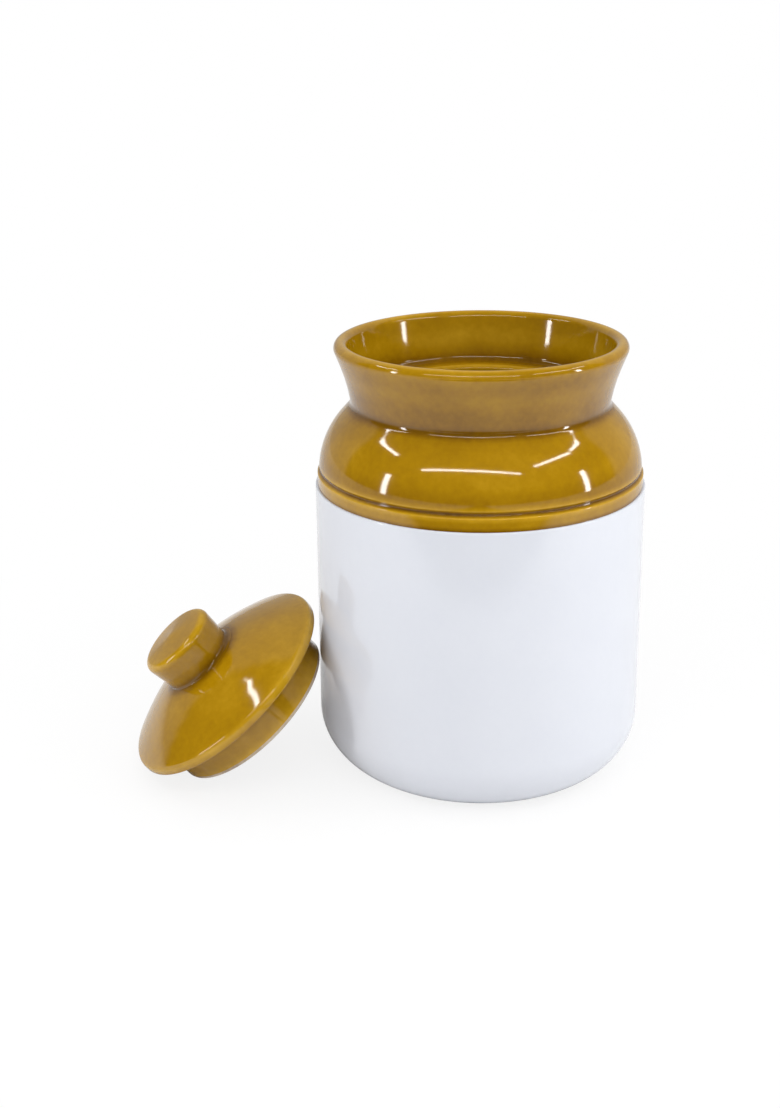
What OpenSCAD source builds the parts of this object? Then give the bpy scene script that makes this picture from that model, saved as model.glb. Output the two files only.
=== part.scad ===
// Water seal pickle jar: a stoneware vessel in two glazes and a loose lid that leans against it.
// The vessel's axis is Z, its foot ring stands on Z = 0 and the lid leans on the -X side.
// Outlines are lists of corners [radius, height, rounding], walked with the ware on the left.

/* [Vessel] */
// Outer diameter of the glazed wall at the line where the two outer glazes meet
body_d = 130; // [122:0.5:140]
// How much wider the wall is at its foot than at that line
wall_swell = 1.6; // [0:0.1:3]
// Height of the line where the two outer glazes meet
glaze_line_h = 118.5; // [90:0.5:150]
// Thickness of the wall
wall_t = 5.5; // [4:0.1:7]
// Thickness of the floor
floor_t = 7; // [5:0.1:10]
// Rounding between the wall and the base
base_round = 22.5; // [15:0.5:28]
// Width of the bare foot ring
foot_w = 6.5; // [4:0.5:10]
// Depth of the recess inside the foot ring
foot_recess = 1.5; // [0.5:0.1:3]

/* [Glaze] */
// Thickness of every glaze coat
glaze_t = 0.5; // [0.3:0.05:0.8]
// Height of the wiped, bare clay at the foot
bare_foot_h = 1; // [0.6:0.1:3]
// Height of the wiped, bare clay at the edge that the lid stands on
bare_skirt_h = 1.5; // [1:0.1:4]

/* [Band and groove] */
// How far the amber band stands back from the white glaze
band_step = 0.9; // [0.7:0.1:1.5]
// Height of the amber band
band_h = 5; // [4:0.1:8]
// Depth of the groove above the band
groove_depth = 1.5; // [1:0.1:2]
// Height from the band's top edge to the bottom of the groove
groove_low_h = 1.2; // [1:0.1:2]
// Height from the bottom of the groove to the ridge under the shoulder
groove_high_h = 1.4; // [1.2:0.1:2]
// How far the ridge stands back from the band
ridge_step = 0.7; // [0.4:0.1:1]
// Rounding at the bottom of the groove
groove_round = 0.8; // [0.4:0.1:0.9]
// Rounding of the turned edges of the white glaze, the band and the ridge
edge_round = 0.5; // [0.3:0.05:0.55]

/* [Shoulder and collar] */
// How far the corner of the shoulder stands in from the ridge
shoulder_in = 1.3; // [0.8:0.1:3]
// Height of the corner of the shoulder above the ridge
shoulder_corner_h = 11.6; // [11:0.1:14]
// Rounding of the shoulder
shoulder_round = 33; // [20:1:34]
// Height of the neck above the ridge
neck_h = 24.4; // [22:0.1:28]
// Rounding of the neck
neck_round = 3.1; // [2:0.1:4]
// Height of the bend in the collar above the neck
collar_bend_h = 9; // [8:0.1:11]
// How far the collar leans out below its bend
collar_lean_low = 9.3; // [6:0.1:12]
// How far the collar leans out above its bend
collar_lean_high = 21.3; // [18:0.1:24]
// Rounding of the bend in the collar
collar_round = 65; // [20:1:65]
// Height of the rim above the neck
collar_h = 24.5; // [22:0.1:30]
// Thickness of the collar at its rolled rim
rim_t = 6.25; // [5:0.05:7]

/* [Seat and throat] */
// Depth of the seat below the rim
seat_drop = 20; // [17:0.5:22]
// Thickness of the flange that holds the seat and the throat
flange_t = 10; // [8:0.5:12]
// Gap all round the edge of the lid on its seat
seat_gap = 0.8; // [0.4:0.1:1.5]
// Thickness of the neck outside the edge of the seat
neck_t = 2.8; // [2.5:0.1:5]
// Gap all round the skirt of the lid in the throat
throat_gap = 2.3; // [1:0.1:3]
// Rounding at the foot of the collar's inner wall
seat_fillet = 3; // [1:0.1:4]
// Rounding at the top of the throat
throat_round = 1.8; // [1:0.1:2.5]
// Rounding at the bottom of the throat
throat_under_round = 2.5; // [1:0.1:3]
// Height of the chamber's upper corner above the ridge
chamber_corner_h = 6; // [4:0.1:8]
// Rounding of the chamber's upper corner
chamber_round = 10; // [6:0.5:12]

/* [Lid] */
// Diameter of the lid's plate
lid_d = 93.5; // [90:0.5:98]
// Diameter of the skirt under the plate
skirt_d = 74; // [68:0.5:78]
// Depth of the skirt below the plate
skirt_h = 14.9; // [10:0.1:18]
// Thickness of the skirt
skirt_t = 5; // [4:0.1:7]
// Height of the lip at the plate's edge, up to the corner of the cone
lip_h = 3.7; // [3.2:0.1:5]
// Rounding of the plate's top edge
lip_round = 2; // [1:0.1:2.2]
// Rounding of the plate's under edge and of the skirt's edge
under_round = 0.8; // [0.6:0.1:1.2]
// Rounding where the skirt meets the plate
skirt_fillet = 1; // [0.5:0.1:2]
// Height of the crown under the knob
crown_h = 16.6; // [14:0.1:20]
// Diameter of the flat crown that carries the knob
crown_d = 31; // [30.6:0.1:34]
// How far the cone between lip and crown swells above a straight line
cone_swell = 0.9; // [0.4:0.1:1]
// Rounding that gives the cone its swell
cone_round = 120; // [60:5:130]
// Thickness of the lid above its hollow
lid_t = 5.5; // [4:0.1:7]
// Rounding at the top of the hollow's side
hollow_round = 6; // [3:0.5:7]

/* [Knob] */
// Diameter of the knob where it meets the lid
knob_base_d = 30.2; // [26:0.1:30.4]
// Diameter of the knob near its top
knob_top_d = 33; // [30.6:0.1:36]
// Height of the knob's side above the crown
knob_h = 14.65; // [10:0.05:20]
// Height of the knob's domed top above its side
knob_dome_h = 1.6; // [0.4:0.1:2]
// Rounding of the knob's top edge
knob_round = 3; // [1.5:0.1:3.5]
// How far the knob was set out of upright by hand
knob_lean = 1.8; // [0:0.1:3]
// How far the knob was set off the lid's centre by hand
knob_shift = 1; // [0:0.1:1.2]

/* [Leaning lid] */
// How far the lid leans over from level
lid_tilt = 39.2; // [30:0.1:50]
// Compass direction that the lid leans towards, from the +X axis
lid_facing = 195.7; // [180:0.1:215]
// Compass direction in which the lid's skirt edge stands, from the +X axis
lid_side = 188.6; // [170:0.1:205]
// Gap between the lid's edge and the vessel's wall
lean_gap = 0.3; // [0.25:0.05:1]

/* [Hidden] */
$fn = 128;
// Largest turn between two points of a rounded corner
arc_step = 9;
// Turn between two tested points of the skirt's edge
ring_step = 1;
// Larger than the part in every direction
beyond = 400;

body_r = body_d / 2;
foot_wall_r = body_r + wall_swell / 2;
lid_r = lid_d / 2;
skirt_r = skirt_d / 2;
seat_r = lid_r + seat_gap;
throat_r = skirt_r + throat_gap;
neck_r = seat_r + neck_t;
chamber_r = body_r - wall_t;
foot_r = foot_wall_r - base_round * 1.02;

band_r = body_r - band_step;
band_top_h = glaze_line_h + band_h;
groove_bottom_h = band_top_h + groove_low_h;
ridge_r = band_r - ridge_step;
ridge_z = groove_bottom_h + groove_high_h;
neck_z = ridge_z + neck_h;
bend_z = neck_z + collar_bend_h;
bend_r = neck_r + collar_bend_h * tan(collar_lean_low);
rim_z = neck_z + collar_h;
rim_out_r = bend_r + (rim_z - bend_z) * tan(collar_lean_high);
rim_in_r = rim_out_r - rim_t;
ledge_z = rim_z - seat_drop;
throat_z = ledge_z - flange_t;
liner_z = throat_z + throat_under_round;

// The rim is one full round between the two sides of the collar
inner_lean = atan2(rim_in_r - seat_r, seat_drop);
out_share = tan((90 + collar_lean_high) / 2);
in_share = tan((90 - inner_lean) / 2);
rim_round = rim_t / (out_share + in_share);
rim_mid_r = rim_out_r - rim_round * out_share;

// Outside of the glazed vessel, from the foot ring up to the top of the rim
vessel_out = [
    [foot_r, 0, 0],
    [foot_wall_r, 0, base_round],
    [body_r, glaze_line_h, edge_round],
    [band_r, glaze_line_h, 0],
    [band_r, band_top_h, edge_round],
    [band_r - groove_depth, groove_bottom_h, groove_round],
    [ridge_r, ridge_z, edge_round],
    [ridge_r - shoulder_in, ridge_z + shoulder_corner_h, shoulder_round],
    [neck_r, neck_z, neck_round],
    [bend_r, bend_z, collar_round],
    [rim_out_r, rim_z, rim_round],
    [rim_mid_r, rim_z, 0]
];
// Inside of the glazed vessel, from the top of the rim down to the middle of the floor
vessel_in = [
    [rim_mid_r, rim_z, 0],
    [rim_in_r, rim_z, rim_round],
    [seat_r, ledge_z, seat_fillet],
    [throat_r, ledge_z, throat_round],
    [throat_r, throat_z, throat_under_round],
    [chamber_r, ridge_z + chamber_corner_h, chamber_round],
    [chamber_r, floor_t, base_round - wall_t],
    [0, floor_t, 0]
];
foot_line = [[0, foot_recess], [foot_r - foot_w, foot_recess], [foot_r - foot_w, 0]];

// Outside of the glazed lid, from the skirt's lower edge out and up to the crown
cone_run = [crown_d / 2 - lid_r, crown_h - lip_h];
cone_side = [-cone_run.y, cone_run.x] / norm(cone_run);
cone_corner = [lid_r, lip_h] + cone_run / 2 - 2 * cone_swell * cone_side;
lid_out = [
    [skirt_r - skirt_t, -skirt_h, 0],
    [skirt_r, -skirt_h, under_round],
    [skirt_r, 0, skirt_fillet],
    [lid_r, 0, under_round],
    [lid_r, lip_h, lip_round],
    [cone_corner.x, cone_corner.y, cone_round],
    [crown_d / 2, crown_h, 0],
    [0, crown_h, 0]
];
// Bare hollow under the lid, from its middle out and down to the skirt's lower edge
hollow_slope = (crown_h - lip_h) / (lid_r - crown_d / 2);
hollow_r = skirt_r - skirt_t;
hollow_z = lip_h + hollow_slope * (lid_r - hollow_r) - lid_t;
lid_hollow = [
    [0, crown_h - lid_t, 0],
    [crown_d / 2, crown_h - lid_t, hollow_round],
    [hollow_r, hollow_z, hollow_round],
    [hollow_r, -skirt_h, 0]
];
// Side and top of the glazed knob above the crown, and a stub below it that the crown cuts off
knob_stub = 2;
knob_side_r = knob_base_d / 2;
knob_top_r = knob_top_d / 2;
knob_out = [
    [knob_side_r, -knob_stub, 0],
    [knob_side_r, 0, 0],
    [knob_top_r, knob_h, knob_round],
    [0, knob_h + knob_dome_h, 0]
];

// The skirt's edge is a ring that touches the floor, and clears the wall by the gap
edge_ring_r = skirt_r - under_round;
edge_ring_h = skirt_h - under_round;
edge_ring_z = edge_ring_r * sin(lid_tilt) + under_round;
lid_up = [sin(lid_tilt) * cos(lid_facing), sin(lid_tilt) * sin(lid_facing), cos(lid_tilt)];
side_dir = [cos(lid_side), sin(lid_side)];
ring_reach = max([for (turn = [0 : ring_step : 360 - ring_step])
    let (point = ring_point(turn),
         level = [point.x, point.y],
         clear_r = wall_r(edge_ring_z + point.z) + lean_gap + under_round,
         along = side_dir * level)
    sqrt(max(clear_r * clear_r - level * level + along * along, 0)) - along]);
lid_origin = [ring_reach * side_dir.x, ring_reach * side_dir.y, edge_ring_z] + edge_ring_h * lid_up;

// Outer radius of the wall at a height
function wall_r(z) = foot_wall_r - (foot_wall_r - body_r) * z / glaze_line_h;

// A point of the leaning skirt edge's ring, from its centre
function ring_point(turn) = let (down = edge_ring_r * cos(turn), across = edge_ring_r * sin(turn)) [
    down * cos(lid_tilt) * cos(lid_facing) - across * sin(lid_facing),
    down * cos(lid_tilt) * sin(lid_facing) + across * cos(lid_facing),
    -down * sin(lid_tilt)];

function flat(corner) = [corner.x, corner.y];
function unit(v) = v / norm(v);
function left(v) = [-v.y, v.x];
function bend(u, v) = atan2(cross(u, v), u * v);
function turned(v, a) = [v.x * cos(a) - v.y * sin(a), v.x * sin(a) + v.y * cos(a)];

// Points of an outline whose corners are rounded by arcs
function rounded(path) = [for (i = [0 : len(path) - 1])
    each i == 0 || i == len(path) - 1 || path[i].z == 0
        ? [flat(path[i])]
        : corner_arc(flat(path[i - 1]), flat(path[i]), flat(path[i + 1]), path[i].z)];

// Points of the arc that rounds one corner
function corner_arc(before, corner, after, radius) =
    let (u = unit(corner - before),
         v = unit(after - corner),
         angle = bend(u, v),
         start = corner - radius * abs(tan(angle / 2)) * u,
         centre = start + sign(angle) * radius * left(u),
         steps = ceil(abs(angle) / arc_step))
    [for (k = [0 : steps]) centre + turned(start - centre, angle * k / steps)];

// The same outline moved to its left, so that the ware under a coat follows the coat
function inset(path, depth) = [for (i = [0 : len(path) - 1])
    let (here = flat(path[i]),
         u = unit(i > 0 ? here - flat(path[i - 1]) : flat(path[1]) - here),
         v = i < len(path) - 1 ? unit(flat(path[i + 1]) - here) : u,
         moved = here + depth * (left(u) + left(v)) / (1 + u * v),
         radius = path[i].z == 0 ? 0 : max(path[i].z - sign(bend(u, v)) * depth, 0))
    [moved.x, moved.y, radius]];

function backwards(points) = [for (i = [len(points) - 1 : -1 : 0]) points[i]];

// Section of a glaze coat under an outline
module coat(path) {
    polygon(concat(rounded(path), backwards(rounded(inset(path, glaze_t)))));
}

// Half plane of a section above a height
module above(z) {
    translate([0, z]) square([beyond, beyond]);
}

// Half plane of a section below a height
module below(z) {
    translate([0, z - beyond]) square([beyond, beyond]);
}

module white_section() {
    intersection() {
        coat(vessel_out);
        above(bare_foot_h);
        below(glaze_line_h);
    }
}

module amber_section() {
    intersection() {
        coat(vessel_out);
        above(glaze_line_h);
    }
    intersection() {
        coat(vessel_in);
        above(liner_z);
    }
}

module liner_section() {
    intersection() {
        coat(vessel_in);
        below(liner_z);
    }
}

module lid_coat_section() {
    intersection() {
        coat(lid_out);
        above(-skirt_h + bare_skirt_h);
    }
}

// Clay of the vessel: the whole section without its three coats
module jar_body() {
    color("tan") rotate_extrude() difference() {
        polygon(concat(foot_line, rounded(vessel_out), rounded(vessel_in)));
        white_section();
        amber_section();
        liner_section();
    }
}

module white_glaze() {
    color("lavender") rotate_extrude() white_section();
}

module amber_glaze() {
    color("darkgoldenrod") rotate_extrude() amber_section();
}

module liner_glaze() {
    color("saddlebrown") rotate_extrude() liner_section();
}

// Sets what is drawn round the Z axis on the spot where the lid leans
module leaning() {
    translate(lid_origin) rotate([0, lid_tilt, lid_facing]) children();
}

module lid_clay() {
    rotate_extrude() difference() {
        polygon(concat(rounded(lid_out), rounded(lid_hollow)));
        lid_coat_section();
    }
}

// A knob with its outline moved in, set on the crown as it was by hand
module knob_shape(depth) {
    translate([knob_shift, 0, crown_h]) rotate([0, knob_lean, 0]) rotate_extrude() intersection() {
        polygon(concat([[0, -knob_stub]], rounded(inset(knob_out, depth))));
        above(-knob_stub);
    }
}

// Clay of the knob, cut level where it sits on the clay of the crown
module knob_clay() {
    difference() {
        knob_shape(glaze_t);
        translate([0, 0, crown_h - glaze_t - beyond]) cylinder(h = beyond, r = lid_r);
    }
}

module lid_body() {
    color("tan") leaning() lid_clay();
}

module lid_knob() {
    color("tan") leaning() knob_clay();
}

// One coat over the lid and its knob
module lid_glaze() {
    color("darkgoldenrod") leaning() difference() {
        union() {
            rotate_extrude() lid_coat_section();
            difference() {
                knob_shape(0);
                translate([0, 0, crown_h - glaze_t - beyond]) cylinder(h = beyond, r = lid_r);
            }
        }
        knob_clay();
    }
}

jar_body();
white_glaze();
amber_glaze();
liner_glaze();
lid_body();
lid_knob();
lid_glaze();
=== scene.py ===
"""Looks of a two-tone stoneware pickle jar and its leaning lid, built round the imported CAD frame."""
import math

import bmesh
import bpy
from mathutils import Matrix, Vector, noise


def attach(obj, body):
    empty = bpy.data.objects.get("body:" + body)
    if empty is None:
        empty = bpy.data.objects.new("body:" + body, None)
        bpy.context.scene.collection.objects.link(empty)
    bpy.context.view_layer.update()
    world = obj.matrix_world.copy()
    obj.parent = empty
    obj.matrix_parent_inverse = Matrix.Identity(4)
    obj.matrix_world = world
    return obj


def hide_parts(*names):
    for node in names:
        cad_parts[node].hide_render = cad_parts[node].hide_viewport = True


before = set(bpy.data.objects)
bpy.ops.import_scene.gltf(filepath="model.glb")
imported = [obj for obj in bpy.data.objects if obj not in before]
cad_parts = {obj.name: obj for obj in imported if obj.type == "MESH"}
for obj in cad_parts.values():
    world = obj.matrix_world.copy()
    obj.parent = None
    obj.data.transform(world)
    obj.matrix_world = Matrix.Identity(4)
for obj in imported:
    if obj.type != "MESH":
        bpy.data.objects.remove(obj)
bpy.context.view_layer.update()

MM = 0.001
SEGMENTS = 256  # points round each turned outline
ARC_STEP = math.radians(4)  # largest turn between two points of a rounded corner
SHARP = math.radians(35)  # edges that turn more than this stay crisp
STRAIGHT = 1e-9  # a corner that turns less than this, in radians, is none
ON_AXIS = 1e-6  # a point nearer to the axis than this, in millimetres, is on it
SAME_HEIGHT = 1e-4  # heights that differ by less than this, in millimetres, are one

# Sizes of the ware in millimetres, the same as the CAD model's
COAT, WALL_T = 0.5, 5.5
BODY_R, FOOT_WALL_R, BASE_ROUND = 65.0, 65.8, 22.5
FOOT_SHARE = 1.02  # how far in from the wall the foot starts, as a share of the base's rounding
FOOT_R = FOOT_WALL_R - BASE_ROUND * FOOT_SHARE
BARE_FOOT_H = 1.0
GLAZE_LINE, BAND_R, BAND_TOP = 118.5, 64.1, 123.5
GROOVE_R, GROOVE_Z, RIDGE_R, RIDGE_Z = 62.6, 124.7, 63.4, 126.1
EDGE_ROUND, GROOVE_ROUND = 0.5, 0.8
SHOULDER_R, SHOULDER_Z, SHOULDER_ROUND = 62.1, 137.7, 33.0
SEAT_R, THROAT_R, NECK_R, NECK_Z, NECK_ROUND = 47.55, 39.3, 50.35, 150.5, 3.1
BEND_Z, RIM_Z, RIM_T, COLLAR_ROUND = 159.5, 175.0, 6.25, 65.0
LEAN_LOW, LEAN_HIGH = math.radians(9.3), math.radians(21.3)
BEND_R = NECK_R + (BEND_Z - NECK_Z) * math.tan(LEAN_LOW)
RIM_OUT_R = BEND_R + (RIM_Z - BEND_Z) * math.tan(LEAN_HIGH)
RIM_IN_R = RIM_OUT_R - RIM_T
ABOVE_RIM = RIM_Z + 1
LEDGE_Z, THROAT_Z, LINER_Z = 155.0, 145.0, 147.5
SEAT_FILLET, THROAT_ROUND, THROAT_UNDER_ROUND = 3.0, 1.8, 2.5
CHAMBER_R, CHAMBER_Z, CHAMBER_ROUND, FLOOR_Z = 59.5, 132.1, 10.0, 7.0
LID_R, SKIRT_R, SKIRT_H, SKIRT_T = 46.75, 37.0, 14.9, 5.0
BARE_SKIRT_H, LIP_H, CROWN_H, CROWN_R = 1.5, 3.7, 16.6, 15.5
UNDER_ROUND, SKIRT_FILLET, LIP_ROUND = 0.8, 1.0, 2.0
CONE_SWELL, CONE_ROUND = 0.9, 120.0
KNOB_BASE_R, KNOB_TOP_R, KNOB_H, KNOB_DOME, KNOB_ROUND = 15.1, 16.5, 14.65, 1.6, 3.0
KNOB_LEAN, KNOB_SHIFT = math.radians(1.8), 1.0
LID_TILT, LID_FACING = math.radians(39.2), math.radians(195.7)
LID_ORIGIN = (-102.272, -16.581, 34.606)

# Glaze that gathers round the knob's foot: its rounding, how far out it starts in such roundings, how deep the
# knob's coat dips into the lid's, and the share of that dip at which the rounding turns up
KNOB_POOL, KNOB_SPLAY, KNOB_STUB, KNOB_TURN = 1.6, 1.4, 0.6, 0.2

# Longest stretches of an outline between two points, in millimetres, on the coats' faces
SEEN_STEP, UNDER_STEP = 3.0, 6.0
FINE_SEEN_STEP, FINE_UNDER_STEP = 2.0, 4.0
# The dipped white wall is uneven by this much at most, over this height, in millimetres
WAVER, WAVER_RUN = 0.05, 40

# Camera that gives the photograph's view
IMAGE_W = 780
FOCAL_PX, SENSOR, NEAR_CLIP = 1469.76, 36.0, 0.01
EYE = Vector((0.0, -557.893, 295.908)) * MM
PITCH, YAW, ROLL = math.radians(20.5712), math.radians(-3.6904), math.radians(0.7963)


def unit(v):
    return v.normalized()


def rounded(path):
    """Points of an outline [(radius, height, rounding), ...] whose corners are rounded by arcs."""
    points = []
    for i, (r, z, size) in enumerate(path):
        here = Vector((r, z))
        if i in (0, len(path) - 1) or size <= 0:
            points.append(here)
            continue
        u = unit(here - Vector(path[i - 1][:2]))
        v = unit(Vector(path[i + 1][:2]) - here)
        angle = math.atan2(u.x * v.y - u.y * v.x, u.dot(v))
        start = here - size * abs(math.tan(angle / 2)) * u
        centre = start + math.copysign(size, angle) * Vector((-u.y, u.x))
        steps = max(2, math.ceil(abs(angle) / ARC_STEP))
        for k in range(steps + 1):
            points.append(centre + Matrix.Rotation(angle * k / steps, 2) @ (start - centre))
    return points


def inset(path, depth):
    """The same outline moved to its left, into the ware."""
    moved = []
    for i, (r, z, size) in enumerate(path):
        here = Vector((r, z))
        u = unit(here - Vector(path[i - 1][:2])) if i else unit(Vector(path[1][:2]) - here)
        v = unit(Vector(path[i + 1][:2]) - here) if i < len(path) - 1 else u
        side = Vector((-u.y - v.y, u.x + v.x)) * (depth / (1 + u.dot(v)))
        angle = math.atan2(u.x * v.y - u.y * v.x, u.dot(v))
        turn = math.copysign(depth, angle) if abs(angle) > STRAIGHT else 0
        moved.append((here.x + side.x, here.y + side.y, max(size - turn, 0) if size > 0 else 0))
    return moved


def clipped(points, low, high):
    """The stretch of an outline between two heights, cut exactly at them."""
    kept = []
    for a, b in zip(points, points[1:]):
        if a == b:
            continue
        if low <= a.y <= high:
            kept.append(a)
        crossed = [level for level in (low, high) if (a.y - level) * (b.y - level) < 0]
        cuts = [a.lerp(b, (level - a.y) / (b.y - a.y)) for level in crossed]
        kept += sorted(cuts, key=lambda p: (p - a).length)
    if low <= points[-1].y <= high:
        kept.append(points[-1])
    return kept


def finer(points, longest):
    """Adds points so that no stretch is longer than a given length."""
    out = [points[0]]
    for a, b in zip(points, points[1:]):
        n = max(1, math.ceil((b - a).length / longest))
        out += [a.lerp(b, k / n) for k in range(1, n + 1)]
    return out


def pooling(marks, p):
    """How thick the glaze has run at a point, with painted shade and painted light added: above 0 it has pooled
    or is painted darker, below 0 it has thinned or is painted lighter.
    """
    return sum(amount * math.exp(-(((p.x - r) / width) ** 2) - ((p.y - z) / width) ** 2)
               for r, z, width, amount in marks)


def turned(name, loop, marks, place=Matrix.Identity(4), waver=0.0):
    """A closed outline turned round the axis as one closed mesh, with its glaze pooling and painted shade and
    light kept at each point.
    """
    bm = bmesh.new()
    layer = bm.verts.layers.float.new("pool")
    rings = []
    for p in loop:
        ring = []
        count = 1 if p.x < ON_AXIS else SEGMENTS
        for k in range(count):
            a = 2 * math.pi * k / SEGMENTS
            shrink = waver * (0.5 + 0.5 * noise.noise(Vector((math.cos(a), math.sin(a), p.y / WAVER_RUN))))
            r = max(p.x - shrink, 0)
            vert = bm.verts.new(place @ (Vector((r * math.cos(a), r * math.sin(a), p.y)) * MM))
            vert[layer] = pooling(marks, p)
            ring.append(vert)
        rings.append(ring)
    for low, high in zip(rings, rings[1:] + rings[:1]):
        for k in range(SEGMENTS):
            n = (k + 1) % SEGMENTS
            corners = [low[k % len(low)], low[n % len(low)], high[n % len(high)], high[k % len(high)]]
            corners = list(dict.fromkeys(corners))
            if len(corners) > 2:
                bm.faces.new(corners)
    bmesh.ops.recalc_face_normals(bm, faces=bm.faces)
    mesh = bpy.data.meshes.new(name)
    bm.to_mesh(mesh)
    bm.free()
    mesh.shade_smooth()
    mesh.set_sharp_from_angle(angle=SHARP)
    piece = bpy.data.objects.new(name, mesh)
    bpy.context.scene.collection.objects.link(piece)
    return piece


def coat(name, path, low, high, marks, place=Matrix.Identity(4), waver=0.0):
    """A coat of glaze under one outline, between two heights."""
    outer = finer(clipped(rounded(path), low, high), SEEN_STEP)
    inner = finer(clipped(rounded(inset(path, COAT)), low, high), UNDER_STEP)
    return turned(name, outer + inner[::-1], marks, place, waver)


def connect(tree, socket, value):
    """Links a socket to another one, or sets it to a plain value."""
    if isinstance(value, bpy.types.NodeSocket):
        tree.links.new(value, socket)
    else:
        socket.default_value = value


def add_node(tree, kind, settings=None, **sockets):
    """A new node. Its settings come first, because they decide which sockets it has."""
    node = tree.nodes.new(kind)
    for key, value in (settings or {}).items():
        setattr(node, key, value)
    for key, value in sockets.items():
        connect(tree, node.inputs[key.replace("_", " ")], value)
    return node


def maths(tree, operation, *values):
    node = add_node(tree, "ShaderNodeMath", {"operation": operation})
    for socket, value in zip(node.inputs, values):
        connect(tree, socket, value)
    return node.outputs["Value"]


def smooth_step(tree, value, start, end, low, high):
    """Goes smoothly from low to high as a value goes from start to end."""
    node = add_node(tree, "ShaderNodeMapRange", {"interpolation_type": "SMOOTHSTEP"},
                    Value=value, From_Min=start, From_Max=end, To_Min=low, To_Max=high)
    return node.outputs["Result"]


def mixed(tree, kind, factor, first, second):
    """A mix of two numbers (FLOAT) or two colours (RGBA)."""
    node = add_node(tree, "ShaderNodeMix", {"data_type": kind}, Factor=factor, A=first, B=second)
    return node.outputs["Result"]


def mixed_shader(tree, factor, first, second):
    node = add_node(tree, "ShaderNodeMixShader", Fac=factor)
    tree.links.new(first, node.inputs[1])
    tree.links.new(second, node.inputs[2])
    return node.outputs["Shader"]


def ramp(tree, factor, stops):
    node = add_node(tree, "ShaderNodeValToRGB", Fac=factor)
    ends = node.color_ramp.elements
    while len(ends) < len(stops):
        ends.new(0.5)
    for element, (at, colour) in zip(ends, stops):
        element.position = at
        element.color = (*colour, 1)
    return node.outputs["Color"]


def material(name):
    m = bpy.data.materials.new(name)
    m.use_nodes = True
    return m, m.node_tree, m.node_tree.nodes["Principled BSDF"]


# Glaze: what the pooling with its painted shade and light, the fine noise and the waves add, and the depths of
# its bumps in metres
POOL_SPREAD, FINE_SHARE, ROUGH_SPREAD, SKIN_SHARE = 0.5, 0.4, 0.05, 0.5
WAVE_DEPTH, SKIN_DEPTH, GLAZE_IOR = 0.0012, 0.00006, 1.5
# Specks: how large a speck is in its noise cell, and the value above which a cell has one
BLACK, FULL = (0, 0, 0), (1, 1, 1)
SPECK_SIZE = [(0.0, FULL), (0.045, FULL), (0.07, BLACK)]
SPECK_SHARE = [(0.0, BLACK), (0.9, BLACK), (0.93, FULL)]


def glaze(name, stops, roughness, ripple, base=0.4, mottle=0.25, specks=None):
    """Fired glaze: colour follows how thick it pooled and the painted shade and light in its marks, with cloudy
    mottling, fine waviness and a hard gloss.
    """
    m, tree, shader = material(name)
    where = add_node(tree, "ShaderNodeTexCoord").outputs["Object"]
    cloud = add_node(tree, "ShaderNodeTexNoise", Vector=where, Scale=38.0, Detail=5.0, Roughness=0.6)
    fine = add_node(tree, "ShaderNodeTexNoise", Vector=where, Scale=420.0, Detail=3.0, Roughness=0.55)
    pool = add_node(tree, "ShaderNodeAttribute", {"attribute_name": "pool"})
    # This attribute holds painted shade and painted light as well as real pooling, so it darkens and lightens
    # the glaze colour.
    level = maths(tree, "MULTIPLY_ADD", pool.outputs["Fac"], POOL_SPREAD, base)
    level = maths(tree, "MULTIPLY_ADD", cloud.outputs["Fac"], mottle, level)
    level = maths(tree, "MULTIPLY_ADD", fine.outputs["Fac"], mottle * FINE_SHARE, level)
    colour = ramp(tree, level, stops)
    if specks:
        dots = add_node(tree, "ShaderNodeTexVoronoi", Vector=where, Scale=90.0)
        size = ramp(tree, dots.outputs["Distance"], SPECK_SIZE)
        share = ramp(tree, dots.outputs["Color"], SPECK_SHARE)
        colour = mixed(tree, "RGBA", maths(tree, "MULTIPLY", size, share), colour, (*specks, 1))
    tree.links.new(colour, shader.inputs["Base Color"])
    rough = maths(tree, "MULTIPLY_ADD", fine.outputs["Fac"], ROUGH_SPREAD, roughness)
    tree.links.new(rough, shader.inputs["Roughness"])
    waves = add_node(tree, "ShaderNodeTexNoise", Vector=where, Scale=26.0, Detail=2.0, Roughness=0.4)
    bump = add_node(tree, "ShaderNodeBump", Strength=ripple, Distance=WAVE_DEPTH, Height=waves.outputs["Fac"])
    skin = add_node(tree, "ShaderNodeBump", Strength=ripple * SKIN_SHARE, Distance=SKIN_DEPTH,
                    Height=fine.outputs["Fac"], Normal=bump.outputs["Normal"])
    tree.links.new(skin.outputs["Normal"], shader.inputs["Normal"])
    shader.inputs["IOR"].default_value = GLAZE_IOR
    return m


CLAY = [(0.3, (0.28, 0.2, 0.14)), (0.5, (0.5, 0.4, 0.3)), (0.7, (0.66, 0.56, 0.45))]
CLAY_ROUGHNESS = 0.85


def clay():
    """Bare fired clay: warm grey-brown, matt, with grog and fine pits."""
    m, tree, shader = material("bare_clay")
    where = add_node(tree, "ShaderNodeTexCoord").outputs["Object"]
    grain = add_node(tree, "ShaderNodeTexNoise", Vector=where, Scale=900.0, Detail=6.0, Roughness=0.7)
    cloud = add_node(tree, "ShaderNodeTexNoise", Vector=where, Scale=60.0, Detail=4.0, Roughness=0.6)
    both = maths(tree, "ADD", grain.outputs["Fac"], cloud.outputs["Fac"])
    half = maths(tree, "MULTIPLY", both, 0.5)
    tree.links.new(ramp(tree, half, CLAY), shader.inputs["Base Color"])
    bump = add_node(tree, "ShaderNodeBump", Strength=0.5, Distance=0.0002, Height=grain.outputs["Fac"])
    tree.links.new(bump.outputs["Normal"], shader.inputs["Normal"])
    shader.inputs["Roughness"].default_value = CLAY_ROUGHNESS
    return m


def wear(piece, finish):
    piece.data.materials.clear()
    piece.data.materials.append(finish)


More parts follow.
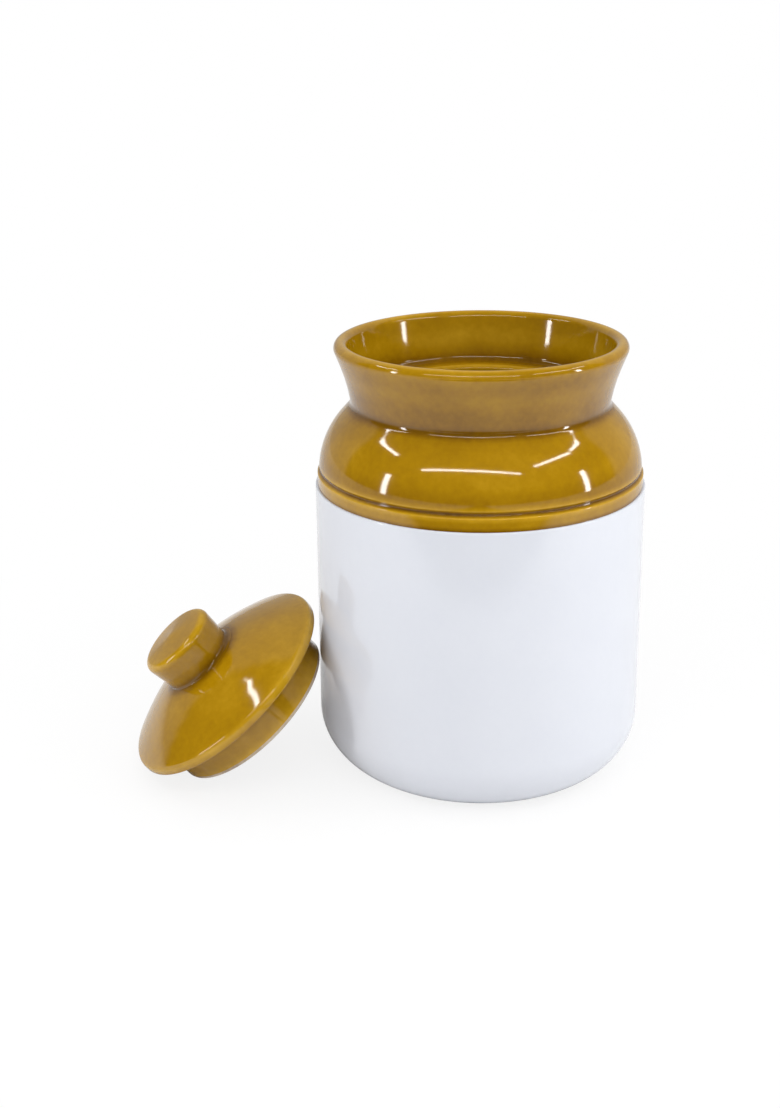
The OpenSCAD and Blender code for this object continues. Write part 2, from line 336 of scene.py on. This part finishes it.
# Outlines of the glazed ware, walked with the ware on the left
inner_lean = math.atan2(RIM_IN_R - SEAT_R, RIM_Z - LEDGE_Z)
out_share = math.tan((math.pi / 2 + LEAN_HIGH) / 2)
in_share = math.tan((math.pi / 2 - inner_lean) / 2)
rim_round = RIM_T / (out_share + in_share)
rim_mid_r = RIM_OUT_R - rim_round * out_share
vessel_out = [
    (FOOT_R, 0, 0), (FOOT_WALL_R, 0, BASE_ROUND), (BODY_R, GLAZE_LINE, EDGE_ROUND), (BAND_R, GLAZE_LINE, 0),
    (BAND_R, BAND_TOP, EDGE_ROUND), (GROOVE_R, GROOVE_Z, GROOVE_ROUND), (RIDGE_R, RIDGE_Z, EDGE_ROUND),
    (SHOULDER_R, SHOULDER_Z, SHOULDER_ROUND), (NECK_R, NECK_Z, NECK_ROUND), (BEND_R, BEND_Z, COLLAR_ROUND),
    (RIM_OUT_R, RIM_Z, rim_round), (rim_mid_r, RIM_Z, 0)]
vessel_in = [
    (rim_mid_r, RIM_Z, 0), (RIM_IN_R, RIM_Z, rim_round), (SEAT_R, LEDGE_Z, SEAT_FILLET),
    (THROAT_R, LEDGE_Z, THROAT_ROUND), (THROAT_R, THROAT_Z, THROAT_UNDER_ROUND),
    (CHAMBER_R, CHAMBER_Z, CHAMBER_ROUND), (CHAMBER_R, FLOOR_Z, BASE_ROUND - WALL_T), (0, FLOOR_Z, 0)]
run = Vector((CROWN_R - LID_R, CROWN_H - LIP_H))
cone = Vector((LID_R, LIP_H)) + run / 2 - 2 * CONE_SWELL * unit(Vector((-run.y, run.x)))
lid_out = [
    (SKIRT_R - SKIRT_T, -SKIRT_H, 0), (SKIRT_R, -SKIRT_H, UNDER_ROUND), (SKIRT_R, 0, SKIRT_FILLET),
    (LID_R, 0, UNDER_ROUND), (LID_R, LIP_H, LIP_ROUND), (cone.x, cone.y, CONE_ROUND), (CROWN_R, CROWN_H, 0)]
knob_out = [
    (KNOB_BASE_R + KNOB_POOL * KNOB_SPLAY, -KNOB_STUB, 0), (KNOB_BASE_R, -KNOB_STUB * KNOB_TURN, KNOB_POOL),
    (KNOB_TOP_R, KNOB_H, KNOB_ROUND), (0, KNOB_H + KNOB_DOME, 0)]

# Where glaze pools or thins, and where shade and light are painted into the glaze colour: radius, height, reach
# and amount
VESSEL_MARKS = [
    # Painted shade: the broad marks at the collar's bend and middle darken the outer collar, which faces down.
    # The first broad mark darkens the lower shoulder above the ridge.
    (RIDGE_R, RIDGE_Z + 3, 4.0, 0.3), (BEND_R, BEND_Z, 5.0, 0.35),
    ((BEND_R + RIM_OUT_R) / 2, (BEND_Z + RIM_Z) / 2, 4.5, 0.35),
    # Painted light: this broad mark lightens the inner collar wall, which faces up.
    ((SEAT_R + RIM_IN_R) / 2, (LEDGE_Z + RIM_Z) / 2, 5.0, -0.3),
    (BAND_R, GLAZE_LINE, 1.0, 0.7), (BAND_R, BAND_TOP, 0.6, -0.5), (GROOVE_R, GROOVE_Z, 0.9, 0.9),
    (RIDGE_R, RIDGE_Z + 0.3, 0.7, -0.5), (NECK_R, NECK_Z, 2.2, 0.7), (rim_mid_r, RIM_Z, 1.6, -0.35),
    # Painted shade: the last mark darkens the throat down into the jar; the seat's pooling and the throat
    # edge's thinning are the glaze's own.
    (SEAT_R, LEDGE_Z, 3.5, 0.8), (THROAT_R, LEDGE_Z, 1.4, -0.2), (THROAT_R, THROAT_Z, 6.0, 0.6)]
LID_MARKS = [
    (LID_R, LIP_H - 1, 1.6, -0.4), (SKIRT_R, -1, 2.5, 0.7), (KNOB_BASE_R, CROWN_H, 3.0, 0.9),
    (SKIRT_R, -SKIRT_H + BARE_SKIRT_H, 2.0, -0.4)]
KNOB_MARKS = [(KNOB_BASE_R, 0, 2.6, 0.9), (KNOB_TOP_R - 1, KNOB_H - 0.6, 1.8, -0.35)]

# Colours of each glaze from where it is thin to where it is thick; on the jar's amber the same ramp also
# carries painted light (lighter) and painted shade (darker)
AMBER = [
    (0.1, (0.56, 0.325, 0.015)), (0.4, (0.36, 0.19, 0.002)),
    (0.7, (0.2, 0.092, 0.001)), (1.0, (0.07, 0.028, 0.001))]
WHITE = [(0.0, (0.63, 0.65, 0.715)), (0.5, (0.68, 0.7, 0.755)), (1.0, (0.73, 0.745, 0.795))]
LINER = [(0.0, (0.3, 0.14, 0.02)), (1.0, (0.1, 0.04, 0.01))]
SPECK = (0.3, 0.22, 0.15)
amber = glaze("amber_glaze", AMBER, roughness=0.05, ripple=0.12, base=0.1, mottle=0.45)
white = glaze("white_glaze", WHITE, roughness=0.05, ripple=0.08, base=0.2, mottle=0.4, specks=SPECK)
liner = glaze("liner_glaze", LINER, roughness=0.15, ripple=0.2)
bare = clay()

lid_place = (Matrix.Translation(Vector(LID_ORIGIN) * MM)
             @ Matrix.Rotation(LID_FACING, 4, "Z") @ Matrix.Rotation(LID_TILT, 4, "Y"))
knob_place = (lid_place @ Matrix.Translation(Vector((KNOB_SHIFT, 0, CROWN_H)) * MM)
              @ Matrix.Rotation(KNOB_LEAN, 4, "Y"))


def dress(piece, node, body, finish):
    wear(piece, finish)
    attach(piece, body)
    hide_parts(node)


white_coat = coat("white_coat", vessel_out, BARE_FOOT_H, GLAZE_LINE, [], waver=WAVER)
dress(white_coat, "white_glaze", "jar", white)

# The amber coat runs from the glaze line over the rim and down into the throat
amber_outer = finer(clipped(rounded(vessel_out), GLAZE_LINE, ABOVE_RIM), FINE_SEEN_STEP)
amber_inner = finer(clipped(rounded(vessel_in), LINER_Z, ABOVE_RIM), FINE_SEEN_STEP)
under_outer = finer(clipped(rounded(inset(vessel_out, COAT)), GLAZE_LINE, ABOVE_RIM), FINE_UNDER_STEP)
under_inner = finer(clipped(rounded(inset(vessel_in, COAT)), LINER_Z, ABOVE_RIM), FINE_UNDER_STEP)
band_foot = max(i for i, p in enumerate(amber_outer) if abs(p.y - GLAZE_LINE) < SAME_HEIGHT)
amber_face = amber_outer[band_foot:] + amber_inner[1:]
amber_under = under_outer + under_inner[1:]
amber_coat = turned("amber_coat", amber_face + amber_under[::-1], VESSEL_MARKS)
dress(amber_coat, "amber_glaze", "jar", amber)

liner_coat = coat("liner_coat", vessel_in, 0, LINER_Z, [])
dress(liner_coat, "liner_glaze", "jar", liner)

lid_coat = coat("lid_coat", lid_out, -SKIRT_H + BARE_SKIRT_H, CROWN_H, LID_MARKS, lid_place)
knob_loop = finer(rounded(knob_out), FINE_SEEN_STEP) + [Vector((0, -KNOB_STUB))]
knob_coat = turned("knob_coat", knob_loop, KNOB_MARKS, knob_place)
for piece in (lid_coat, knob_coat):
    dress(piece, "lid_glaze", "lid", amber)

for node in ("jar_body", "lid_body", "lid_knob"):
    wear(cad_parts[node], bare)

# Floor of white paper
FLOOR_HALF = 6.0
floor_corners = [(x * FLOOR_HALF, y * FLOOR_HALF, 0) for x, y in ((-1, -1), (1, -1), (1, 1), (-1, 1))]
floor_mesh = bpy.data.meshes.new("floor")
floor_mesh.from_pydata(floor_corners, [], [(0, 1, 2, 3)])
floor = bpy.data.objects.new("floor", floor_mesh)
bpy.context.scene.collection.objects.link(floor)

PAPER, PAPER_ROUGHNESS, PAPER_SPECULAR = (0.86, 0.86, 0.86, 1), 0.9, 0.1
paper, paper_tree, paper_shader = material("floor_paper")
paper_shader.inputs["Base Color"].default_value = PAPER
paper_shader.inputs["Roughness"].default_value = PAPER_ROUGHNESS
paper_shader.inputs["Specular IOR Level"].default_value = PAPER_SPECULAR
glow = add_node(paper_tree, "ShaderNodeEmission", Color=(1, 1, 1, 1), Strength=1.0)
gloom = add_node(paper_tree, "ShaderNodeEmission", Color=(0.93, 0.95, 1, 1), Strength=0.02)
path_kind = add_node(paper_tree, "ShaderNodeLightPath")
spot = add_node(paper_tree, "ShaderNodeTexCoord").outputs["Object"]

# Near the jar the white paper shows its shadow; further out it is the plain white surround
SHADOW_SHARE, SHADOW_NEAR, SHADOW_FAR = 0.16, 0.1, 0.32
reach = add_node(paper_tree, "ShaderNodeVectorMath", {"operation": "LENGTH"}, Vector=spot)
lit = smooth_step(paper_tree, reach.outputs["Value"], SHADOW_NEAR, SHADOW_FAR, 1 - SHADOW_SHARE, 1)
seen = maths(paper_tree, "MULTIPLY", path_kind.outputs["Is Camera Ray"], lit)
lit_paper = mixed_shader(paper_tree, seen, paper_shader.outputs["BSDF"], glow.outputs["Emission"])
# The paper ends in front of the jar, which its gloss mirrors as a darker patch
PAPER_END, PAPER_HALF, PAPER_EDGE = -0.27, 0.3, 0.05
axes = add_node(paper_tree, "ShaderNodeSeparateXYZ", Vector=spot)
side = maths(paper_tree, "ABSOLUTE", axes.outputs["X"])
in_front = smooth_step(paper_tree, axes.outputs["Y"], PAPER_END - PAPER_EDGE, PAPER_END, 1, 0)
aside = smooth_step(paper_tree, side, PAPER_HALF, PAPER_HALF + PAPER_EDGE, 1, 0)
patch = maths(paper_tree, "MULTIPLY", in_front, aside)
mirrored = maths(paper_tree, "MULTIPLY", path_kind.outputs["Is Glossy Ray"], patch)
surface = mixed_shader(paper_tree, mirrored, lit_paper, gloom.outputs["Emission"])
paper_tree.links.new(surface, paper_tree.nodes["Material Output"].inputs["Surface"])
floor_mesh.materials.append(paper)

# Soft light comes from all round, more from the right and from above.
# Gloss mirrors a dim room with a pale surround behind the jar
LIGHT_LEFT, LIGHT_RIGHT, LEVEL, OVERHEAD = 0.32, 0.84, 0.15, 2.0
ROOM, PALE, BACKDROP = 0.05, 0.46, 1.0
PALE_START, PALE_END = 0.26, 0.36  # how far back a direction points where the pale surround sets in
world = bpy.data.worlds.new("surround")
bpy.context.scene.world = world
world.use_nodes = True
sky = world.node_tree
back = sky.nodes["Background"]
ray = add_node(sky, "ShaderNodeLightPath")
around = add_node(sky, "ShaderNodeTexCoord").outputs["Generated"]
direction = add_node(sky, "ShaderNodeSeparateXYZ", Vector=around)
across = smooth_step(sky, direction.outputs["X"], -1.0, 1.0, LIGHT_LEFT, LIGHT_RIGHT)
upward = smooth_step(sky, direction.outputs["Z"], 0.0, 1.0, LEVEL, OVERHEAD)
soft = maths(sky, "MULTIPLY", across, upward)
behind = smooth_step(sky, direction.outputs["Y"], PALE_START, PALE_END, 0.0, 1.0)
mirrored_room = mixed(sky, "FLOAT", behind, ROOM, PALE)
lit_room = mixed(sky, "FLOAT", ray.outputs["Is Glossy Ray"], soft, mirrored_room)
shown = mixed(sky, "FLOAT", ray.outputs["Is Camera Ray"], lit_room, BACKDROP)
sky.links.new(shown, back.inputs["Strength"])
back.inputs["Color"].default_value = (1, 1, 1, 1)

AIM = Vector((0, 0, 140 * MM))
LAMP_DISTANCE = 0.7


def strip(name, azimuth, elevation, width, height, watts):
    """A strip light that faces the jar's shoulder. Azimuth 0 is towards the viewer, 90 to the right."""
    a, e = math.radians(azimuth), math.radians(elevation)
    away = Vector((math.sin(a) * math.cos(e), -math.cos(a) * math.cos(e), math.sin(e)))
    data = bpy.data.lights.new(name, "AREA")
    data.shape = "RECTANGLE"
    data.size, data.size_y, data.energy = width, height, watts
    lamp = bpy.data.objects.new(name, data)
    lamp.location = AIM + away * LAMP_DISTANCE
    lamp.rotation_euler = away.to_track_quat("Z", "Y").to_euler()
    bpy.context.scene.collection.objects.link(lamp)


strip("front_strip", -7, 40, width=0.85, height=0.03, watts=1.6)
strip("right_strip", 63, 40, width=0.36, height=0.03, watts=0.68)
strip("right_end_strip", 91, 40, width=0.14, height=0.03, watts=0.26)
strip("left_strip", -86, 40, width=0.26, height=0.03, watts=0.49)
strip("right_post", 76, 8, width=0.05, height=0.26, watts=0.9)
strip("left_post", -66, 8, width=0.05, height=0.26, watts=0.9)

# Camera
right = Vector((math.cos(YAW), -math.sin(YAW), 0))
ahead = Vector((math.sin(YAW) * math.cos(PITCH), math.cos(YAW) * math.cos(PITCH), -math.sin(PITCH)))
down = ahead.cross(right)
rolled_right = math.cos(ROLL) * right + math.sin(ROLL) * down
rolled_down = -math.sin(ROLL) * right + math.cos(ROLL) * down
lens = bpy.data.cameras.new("camera")
lens.sensor_fit = "HORIZONTAL"
lens.sensor_width = SENSOR
lens.lens = FOCAL_PX / IMAGE_W * SENSOR
lens.clip_start = NEAR_CLIP
camera = bpy.data.objects.new("camera", lens)
turn = Matrix((rolled_right, -rolled_down, -ahead)).transposed().to_4x4()
camera.matrix_world = Matrix.Translation(EYE) @ turn
bpy.context.scene.collection.objects.link(camera)
bpy.context.scene.camera = camera
bpy.context.scene.view_settings.view_transform = "Standard"
